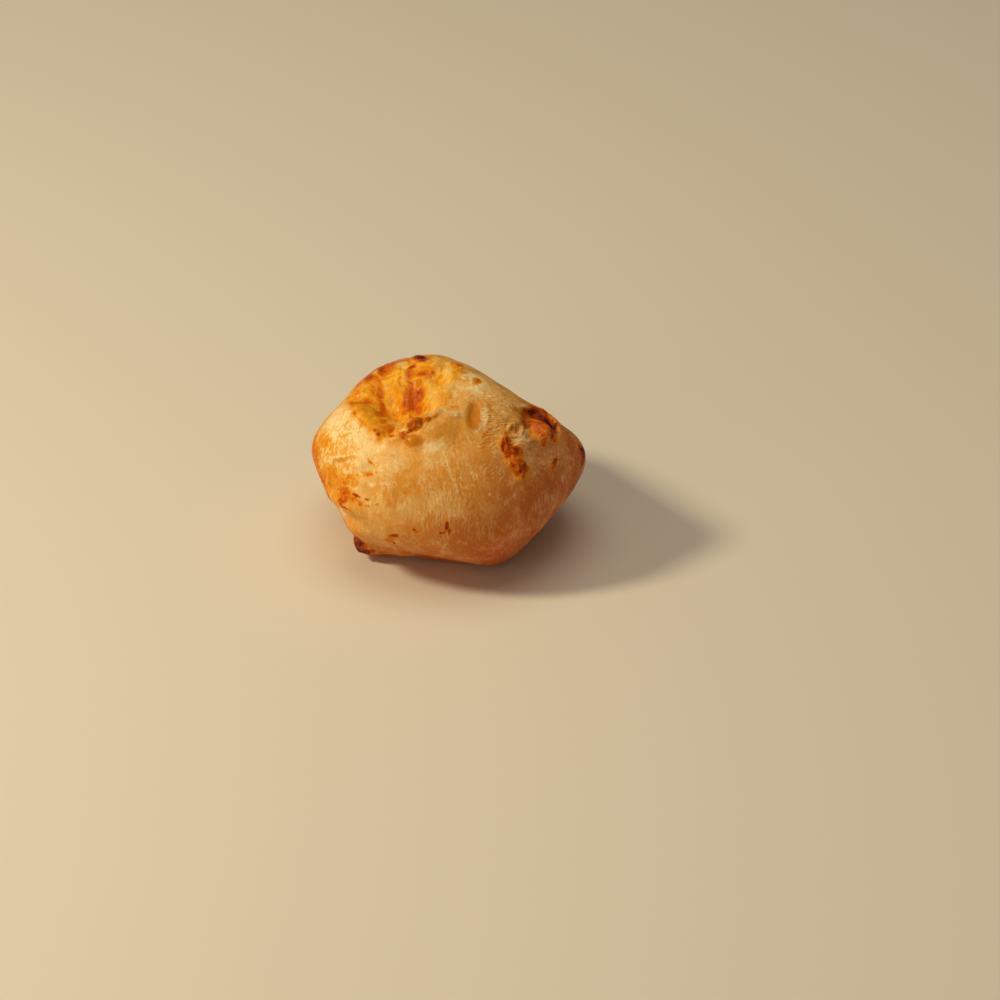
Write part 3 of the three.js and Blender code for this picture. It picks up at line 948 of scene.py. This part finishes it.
def carve_pit():
    """The black gaps round the lump, the strings beside it, and the floor of the back tear."""
    gap = sum(spot(*oval, 0.5, 0.1) for oval in PIT_GAPS)
    strings = strongest(STRINGS, soft=0.5, ragged=0.2)
    strings -= STRING_GAP_SHARE * strongest(STRING_GAPS, soft=0.5, ragged=0.2)
    back_tear = TEAR_ROUGHNESS * in_tear * cloud(points, 1.3, 3, 2.0)
    return STRING_RISE * strings - PIT_GAP_DEPTH * gap + back_tear


height += carve_knobs() + carve_pit()
print("the knobs cover", int(knobs.sum()), "points")

# %% [markdown]
# ## Stretched skin
#
# Between the dimple and the pit the skin was pulled sideways while it set, and it lies in fine
# wrinkles, less than a millimetre apart, which run together towards the pit like the folds of
# a fan. Fainter wrinkles cross the rest of the skin. Each set of them is a fan of rows on a flat
# sheet, and a cloud fades the rows in and out, because no wrinkle runs the whole way. The row
# number is kept: the material uses it to draw the wrinkles finer than the net can, as a bump
# and as painted light and shade, paler along the lines and darker between them.

# %% Wrinkles
# A row has a name, azimuth, elevation, turn, half length, half width, the distance to the
# fan's apex, the spacing of its rows and their depth.
DEEPEST = 0.17
ROW_BEND, ROW_SHAKE = 0.8, 0.3
WAVE, LIFT, WEAVE = 0.7, 0.5, 2.2
FANS = (
    ("beside the dimple", 43, 47, -28, 8.5, 11, 25, 0.8, 0.17),
    ("towards the crust", 26, 26, 22, 4.2, 3.8, 14, 0.75, 0.17),
    ("above the pit", 82, 56, -100, 7, 5, 60, 0.9, 0.1),
    ("right cheek", 70, 4, 74, 11, 6, 70, 1.1, 0.05),
    ("front", 3, 14, -86, 13, 9, 90, 1.2, 0.07),
    ("under the belt", -34, -5, -28, 8, 5, 50, 1.2, 0.04),
    ("back shoulder", 140, 30, 60, 9, 7, 30, 0.95, 0.1),
    ("back left", -118, 14, 15, 9, 7, 30, 1, 0.09),
    ("behind the left edge", -100, -22, 80, 8, 6, 50, 1.1, 0.06),
)


def fan(azimuth, elevation, turn, long, wide, apex, spacing):
    """A fan's row number, the way along the row and the strength at each point."""
    x, y = local(azimuth, elevation, turn)
    rows = apex * np.arctan2(y, np.maximum(apex - x, 1.0)) / spacing
    rows = rows + ROW_BEND * cloud(points, 4.0, 2, 9.0)
    rows = rows + ROW_SHAKE * cloud(points, 1.5, 2, 10.0)
    fade = ramp(cloud(sheet(x / 3.4, rows * 0.8), 1.0, 2, azimuth), -0.4, 0.35)
    return rows, x, (0.45 + 0.55 * fade) * spot(azimuth, elevation, long, wide, turn, 0.45, 0.3)


row_number, along_row, wrinkled, runner_up = np.zeros((4, len(points)))
wrinkle_depth = np.zeros(len(points))
for _, azimuth, elevation, turn, long, wide, apex, spacing, depth in FANS:
    rows, along, strength = fan(azimuth, elevation, turn, long, wide, apex, spacing)
    ahead = strength > wrinkled
    runner_up = np.where(ahead, wrinkled, np.maximum(runner_up, strength))
    row_number = np.where(ahead, rows, row_number)
    along_row = np.where(ahead, along, along_row)
    wrinkle_depth = np.where(ahead, depth, wrinkle_depth)
    wrinkled = np.maximum(wrinkled, strength)
smooth_dimple = spot(22, 55, 4.6, 3.0, 66, 0.3, 0.1)
wrinkled = np.clip(wrinkled - runner_up, 0, 1)
wrinkled = wrinkled * (1 - 0.8 * ramp(baked, 0.3, 0.6)) * (1 - in_cheese)
wrinkled *= (1 - smooth_dimple) * wrinkle_depth / DEEPEST
weave = np.abs(cloud(sheet(along_row / 3.0, row_number * 0.9), 1.0, 2, 13.0))
wave = WAVE * np.cos(2 * np.pi * row_number) + LIFT - WEAVE * weave
height += wrinkled * DEEPEST * wave
print("wrinkled points:", int((wrinkled > 0.3).sum()))

# %% [markdown]
# ## Crusts, cheek and plain skin
#
# Brown crusts are rough and bubbly. The golden left cheek is flaky, with shallow blisters and
# a curled fold round one of them. Everywhere else the skin is taut, and only slow lumps and a
# faint grain keep it from looking like plastic.

# %% Crusts, cheek and skin
PEBBLE_WIDE, PEBBLES_BENT = 2.1, 0.7
RING = ((-62, 16), (-58, 20), (-52, 24), (-46, 26), (-40, 26), (-36, 24), (-34, 20))
RING_WIDE, UNDER_RING_WIDE = 0.75, 0.9
UNDER_RING_LOWER = 4

cheek = spot(-64, 22, 13.0, 14.0, 0, 0.5, 0.25)
crumbly = spot(62, 76, 5.0, 4.5, 0, 0.4, 0.4)
bent = points + PEBBLES_BENT * cloud(points, 2.4, 2, 51.0)[:, None]
pebble_middle, pebble_wall = cells(bent, PEBBLE_WIDE, 5.0)


def ridge_along(stops, half_width):
    """1 along a line of directions and 0 beyond the half width."""
    field = np.zeros(len(points))
    for (a0, e0), (a1, e1) in zip(stops, stops[1:]):
        for share in np.linspace(0, 1, 5):
            x, y = local(a0 + (a1 - a0) * share, e0 + (e1 - e0) * share)
            field = np.maximum(field, np.exp(-((np.hypot(x, y) / half_width) ** 2)))
    return field


ring = ridge_along(RING, RING_WIDE)
lower = [(azimuth, elevation - UNDER_RING_LOWER) for azimuth, elevation in RING]
under_ring = ridge_along(lower, UNDER_RING_WIDE)
crusts = ramp(baked, 0.45, 0.65) * (1 - knobs) * (1 - 0.5 * in_cheese)
CRUST_RISE, CRUST_GRAIN, CRUST_BUBBLES = 0.08, 0.24, 0.34
PEBBLE_RISE, PEBBLE_CRACK, PEBBLE_GRAIN, PEBBLE_SINK = 0.26, 0.07, 0.10, 0.05
PALE_BLISTER_RISE = 0.4
RING_RISE, UNDER_RING_DEPTH = 0.28, 0.06
SLOW_LUMPS, FAINT_GRAIN = 0.16, 0.04


def carve_crusts():
    """Crusts stand a little proud, and are rough and bubbly."""
    bubbles = CRUST_BUBBLES * (0.4 - blister_middle)
    return crusts * (CRUST_RISE + CRUST_GRAIN * cloud(points, 0.9, 3, 4.0) + bubbles)


def carve_cheek():
    """Flakes like pebbles with cracks between them, pale blisters and the curled fold."""
    flakes = PEBBLE_RISE * (0.6 - pebble_middle)
    flakes -= PEBBLE_CRACK * (1 - ramp(pebble_wall, 0.0, 0.14))
    flakes += PEBBLE_GRAIN * cloud(points, 1.2, 2, 23.0)
    curled_fold = RING_RISE * ring - UNDER_RING_DEPTH * under_ring
    blisters = PALE_BLISTER_RISE * pale * cheek
    return (cheek + crumbly) * (flakes - PEBBLE_SINK) + curled_fold + blisters


def carve_skin():
    """Slow lumps and a faint grain all over."""
    return SLOW_LUMPS * cloud(points, 6.0, 2, 31.0) + FAINT_GRAIN * cloud(points, 1.6, 2, 33.0)


height += carve_crusts() + carve_cheek() + carve_skin()
print("the crusts cover", int(crusts.sum()), "points")

# %% [markdown]
# ## Moving the net
#
# Each point now moves along its own normal by the height that was carved for it. The flat
# underside is left as the tin pressed it, so the heights fade out just above the plate.

# %% Apply the relief
height *= ramp(above_plate, 0.0, FLAT_UNDERSIDE)
carved = points + read(ball, "normal") * height[:, None]
carved[:, 2] = np.maximum(carved[:, 2], floor_level)
write(ball, centre + carved * MM)
print("relief from", round(float(height.min()), 2), "to", round(float(height.max()), 2), "mm")

# %% [markdown]
# ## Masks for the material
#
# A mask is one number for every point, stored on the mesh as an attribute that the material
# can read. All go from 0 to 1 but the two that number the wrinkles' rows and the way along
# them. The dough turns peachy low on the ball and on its right: partly the oven's even
# toasting there, partly painted shade on the side away from the key light. Glossy places are
# those that melted, and the dimple and the bulge under the lip. A crest is a point that stands
# proud of its neighbours: crests are painted paler and hollows darker, as painted highlight
# and painted shade.

# %% Store the masks
TOAST_AND_SHADE_TO_THE_RIGHT, TOAST_PATCHES = 0.7, 4.0

# Darker and redder low down and to the right: partly toasting, partly painted shade on the side
# away from the key light.
lowness = -points[:, 2] + TOAST_AND_SHADE_TO_THE_RIGHT * points[:, 0]
lowness += TOAST_PATCHES * cloud(points, 12.0, 2, 41.0)
peach = ramp(lowness, -22.0, 19.0)
cheese = np.maximum(in_cheese, np.maximum(0.9 * in_tear, 0.7 * in_pit))
gloss = np.maximum(knobs, np.maximum(cheese, spot(25, 55, 4.0, 1.5, 66, 0.4, 0.1)))
gloss = np.maximum(gloss, 0.5 * spot(-19, 40, 2.4, 1.7, 5, 0.5, 0.1))
neighbours = np.zeros_like(height)
count = np.zeros_like(height)
edges = np.empty(2 * len(ball.data.edges), dtype=np.int32)
ball.data.edges.foreach_get("vertices", edges)
ends = edges.reshape(-1, 2).T
for one, other in (ends, ends[::-1]):
    np.add.at(neighbours, one, height[other])
    np.add.at(count, one, 1)
crest = height - neighbours / count

# The crest mask paints crests paler and hollows darker: painted highlight and painted shade.
CREST_GAIN = 6.0
MASKS = {
    "baked": np.maximum(baked, gilded),
    "pale": pale,
    "cheese": cheese,
    "cheek": np.maximum(cheek, crumbly) * (1 - in_cheese),
    "peach": peach,
    "gloss": gloss,
    "glassy": glassy,
    "crest": np.clip(0.5 + CREST_GAIN * crest, 0, 1),
    "row_number": row_number,
    "along_row": along_row,
    "wrinkled": wrinkled,
}
for name, values in MASKS.items():
    layer = ball.data.attributes.new(name, "FLOAT", "POINT")
    layer.data.foreach_set("value", values.astype(np.float32))
print("masks:", list(MASKS))

# %% [markdown]
# ## Shader sums in plain Python
#
# Nodes are easier to read as sums. A `Link` wraps a socket, and adding or multiplying two of
# them adds the Math node. Colours can't go through Math nodes, which would turn them grey, so
# they have `mix`. Any other node comes from `node`, which takes its kind, its settings and the
# values or links of its sockets.

# %% A small language for nodes
class Link:
    def __init__(self, graph, socket):
        self.graph, self.socket = graph, socket

    def math(self, operation, other=None, swap=False):
        values = (other, self) if swap else (self, other)
        return self.graph.node("ShaderNodeMath", {"operation": operation}, dict(enumerate(values)))

    def __add__(self, other):
        return self.math("ADD", other)

    def __sub__(self, other):
        return self.math("SUBTRACT", other)

    def __mul__(self, other):
        return self.math("MULTIPLY", other)

    def __rsub__(self, other):
        return self.math("SUBTRACT", other, swap=True)

    __radd__ = __add__
    __rmul__ = __mul__

    def ramp(self, start, end):
        """Rises smoothly from 0 at the start to 1 at the end."""
        settings = {"interpolation_type": "SMOOTHSTEP"}
        values = {"Value": self, "From Min": start, "From Max": end}
        return self.graph.node("ShaderNodeMapRange", settings, values)

    def line(self, width):
        """1 where the value crosses a half, falling to 0 at the width: a thin vein."""
        return 1 - (self - 0.5).math("ABSOLUTE").ramp(0, width)


class Graph:
    def __init__(self, name):
        self.material = bpy.data.materials.new(name)
        self.material.use_nodes = True
        self.tree = self.material.node_tree
        self.surface = self.tree.nodes["Principled BSDF"]

    def connect(self, socket, value):
        if isinstance(value, Link):
            self.tree.links.new(value.socket, socket)
        elif value is not None:
            socket.default_value = value

    def node(self, kind, settings=None, values=None, output=0):
        made = self.tree.nodes.new(kind)
        for name, value in (settings or {}).items():
            if name == "stops":
                self.set_stops(made.color_ramp, value)
            else:
                setattr(made, name, value)
        for name, value in (values or {}).items():
            self.connect(made.inputs[name], value)
        return Link(self, made.outputs[output])

    def set_stops(self, colours, stops):
        while len(colours.elements) < len(stops):
            colours.elements.new(1.0)
        for element, (place, colour) in zip(colours.elements, stops):
            element.position, element.color = place, colour

    def attribute(self, name):
        return self.node("ShaderNodeAttribute", {"attribute_name": name}, output="Fac")

    def noise(self, place, scale, detail=3.0, roughness=0.55, distortion=0.0):
        values = {"Vector": place, "Scale": scale, "Detail": detail}
        values.update({"Roughness": roughness, "Distortion": distortion})
        return self.node("ShaderNodeTexNoise", None, values)

    def mix(self, factor, first, second):
        """Blends two colours, as a Mix node on colours."""
        made = self.tree.nodes.new("ShaderNodeMix")
        made.data_type = "RGBA"
        self.connect(made.inputs[0], factor)
        self.connect(made.inputs[6], first)
        self.connect(made.inputs[7], second)
        return Link(self, made.outputs[2])

    def set(self, name, value):
        self.connect(self.surface.inputs[name], value)


def screen(red, green, blue):
    """A colour as a screen shows it, 0 to 255, turned to the light values nodes use."""
    linear = []
    for value in (red, green, blue):
        share = value / 255
        linear.append(share / 12.92 if share <= 0.04045 else ((share + 0.055) / 1.055) ** 2.4)
    return (*linear, 1.0)


print("node language ready")

# %% [markdown]
# ## The crust
#
# The skin is thin and a little see-through: milky starch veins run from top to bottom over
# amber dough. Melted cheese is golden and smooth, and the cheek is a net of gold round cream
# blisters. Heat turns all of these to gold, orange, brown and at last nearly black. The colour
# is built in that order, each layer over the last, and every mask is broken up by noise that
# is finer than the net.

# %% Colours of the crust
CREAM = screen(250, 213, 136)
AMBER = screen(230, 157, 58)
# BLUSH and RUSSET colour the dough low on the right: partly toasting, partly painted shade.
BLUSH = screen(230, 156, 94)
RUSSET = screen(192, 94, 34)
MILK = screen(255, 231, 174)
BUTTER = screen(246, 184, 46)
GOLD = screen(228, 138, 4)
GOLDEN_SKIN = screen(240, 166, 36)
PALE_CHEESE = screen(255, 218, 126)
OLIVE = screen(208, 126, 8)
BAKING = (
    (0.00, screen(242, 194, 92)),
    (0.20, screen(240, 166, 30)),
    (0.38, screen(228, 128, 6)),
    (0.54, screen(208, 102, 2)),
    (0.70, screen(178, 70, 2)),
    (0.86, screen(124, 34, 4)),
    (1.00, screen(50, 14, 8)),
)
print(len(BAKING), "steps from dough to char")

# %% [markdown]
# Noise cut off at a half gives thin veins, and noise on squeezed coordinates gives strands that
# run up the ball. Each pattern has its own grain, from nearly a centimetre to half a millimetre.
# The masks are read back from the mesh under the names that they were stored under, and the
# rows of wrinkles get their own noise, drawn along each row.

# %% Patterns of the crust
graph = Graph("crust")
place = graph.node("ShaderNodeTexCoord", output="Object")
stretched = graph.node("ShaderNodeMapping", None, {"Vector": place, "Scale": (1.0, 1.0, 0.12)})

mottle = graph.noise(place, 420, 4, 0.6)
blotches = graph.noise(place, 620, 2, 0.5)
fine = graph.noise(place, 1500, 3, 0.6)
cloudy = graph.noise(place, 120, 3, 0.55)
patches = graph.noise(place, 260, 2, 0.5)
veins = graph.noise(stretched, 330, 1.5, 0.45, 0.1).line(0.022)
hairs = graph.noise(stretched, 950, 2, 0.45, 0.15).line(0.06) * patches.ramp(0.3, 0.65)
threads = graph.noise(place, 900, 3, 0.5, 0.6).line(0.045)
crackle = graph.noise(place, 380, 2, 0.5, 0.1).line(0.018)
strands = graph.noise(stretched, 760, 3, 0.55, 0.2)
flakes = graph.noise(place, 700, 4, 0.6, 0.8)

masks = [graph.attribute(name) for name in MASKS]
baked, pale, cheese, cheek, peach, gloss, glassy, crest, row_number, along_row, wrinkled = masks
row = {"X": row_number * 1.6, "Y": along_row * 0.3}
ripples = graph.noise(graph.node("ShaderNodeCombineXYZ", None, row), 1.0, 2, 0.5, 0.4)
wrinkle = (ripples.line(0.13) - 0.4) * wrinkled
print("patterns:", len(graph.tree.nodes), "nodes so far")

# %% [markdown]
# Dough comes first, then the flaky cheek, the melted cheese, the milky places and the glassy
# ones, and the browning last, because it covers whatever lies under it. The browning is a
# colour ramp over one level, which pale places lower and specks break up.

# %% Colour, from dough to char
veined = veins * patches.ramp(0.40, 0.64) * 0.5 + crackle * cloudy.ramp(0.48, 0.6) * 0.3
milky = cloudy.ramp(0.35, 0.68) * 0.45 + veined * 0.6 + (patches - 0.5) * 0.5
# The wrinkle and crest terms are painted light and shade: paler along wrinkle lines and on crests,
# darker between the lines and in hollows.
milky = milky + hairs * 0.45 + threads * 0.22 + wrinkle * 1.1 + (crest - 0.5) * 0.5 - 0.1
dough = graph.mix(milky, AMBER, CREAM)
# Low on the right the dough is darker and redder: partly toasting, partly painted shade away from
# the key light.
low_right_dough = graph.mix(milky, RUSSET, BLUSH)
skin = graph.mix(peach, dough, low_right_dough)
skin = graph.mix(veined * 0.45 + (hairs + threads) * 0.07, skin, MILK)

net_of_gold = flakes * 0.3 + blotches * 0.4 + mottle * 0.3 + baked * 1.1
# Crests are painted creamier here and hollows more golden: painted highlight and painted shade.
net_of_gold = (net_of_gold - (crest - 0.5) * 0.4).ramp(0.60, 0.82)
flaky = graph.mix(net_of_gold, MILK, GOLDEN_SKIN)
skin = graph.mix(cheek * 0.85, skin, flaky)
melted = graph.mix((mottle * 0.4 + strands * 0.6).ramp(0.38, 0.62), GOLD, BUTTER)
colour = graph.mix(cheese, skin, melted)
milk = graph.mix(cheese, MILK, PALE_CHEESE)
patchy = flakes * 1.1 + (hairs + threads) * 0.3
colour = graph.mix((pale * patchy).ramp(0.08, 0.75) * 0.8, colour, milk)

colour = graph.mix((glassy * (mottle * 0.6 + 0.8)).ramp(0.1, 0.9) * 0.95, colour, OLIVE)
speckle = (mottle - 0.5) * 0.7 + (fine - 0.5) * 0.8 + (blotches - 0.5) * 0.4
level = baked * (1 - glassy * 0.8) - pale * 0.4
level = level + speckle * baked.ramp(0.1, 0.5) * (1 - cheese * 0.4)
burnt = graph.node("ShaderNodeValToRGB", {"stops": BAKING}, {"Fac": level})
colour = graph.mix(level.ramp(0.16, 0.42), colour, burnt)
print("colour:", len(graph.tree.nodes), "nodes so far")

# %% [markdown]
# Melted cheese and brown crust have a thin greasy coat, and light sinks a little way into the
# dough. The grain that is too fine for the net is a bump, and only a fifth of a millimetre deep.

# %% Gloss and grain
DRY, MELTED_SHINE, BROWN_SHINE = 0.56, 0.16, 0.06
BUMP_DEPTH = 0.2 * MM
SCATTER = 0.9 * MM

browned = level.ramp(0.35, 0.65)
graph.set("Base Color", colour)
graph.set("Roughness", DRY - MELTED_SHINE * gloss - BROWN_SHINE * browned + (fine - 0.5) * 0.3)
graph.set("Subsurface Weight", 0.2)
graph.set("Subsurface Scale", SCATTER)
graph.set("Subsurface Radius", (1.0, 0.5, 0.22))
graph.set("IOR", 1.42)
graph.set("Specular IOR Level", 0.14)
graph.set("Coat Weight", gloss * 0.15 + browned * 0.08)
graph.set("Coat Roughness", 0.16)

grain = (fine - 0.5) * 0.7 + (hairs + threads) * 0.25 + veins * 0.15 + wrinkle * 0.9
grain = grain + (mottle - 0.5) * 0.7 * (browned + cheese * 0.3) + (flakes - 0.5) * cheek * 0.6
grain = grain + (strands - 0.5) * cheese * 0.8
bumps = {"Height": grain, "Strength": 0.8, "Distance": BUMP_DEPTH}
graph.set("Normal", graph.node("ShaderNodeBump", None, bumps))

ball.data.materials.clear()
ball.data.materials.append(graph.material)
only(ball)
bpy.ops.object.shade_smooth()
print("the crust has", len(graph.tree.nodes), "nodes")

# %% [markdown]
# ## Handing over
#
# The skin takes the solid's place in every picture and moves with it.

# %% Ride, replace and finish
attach(ball, "root")
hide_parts("cheese_ball")
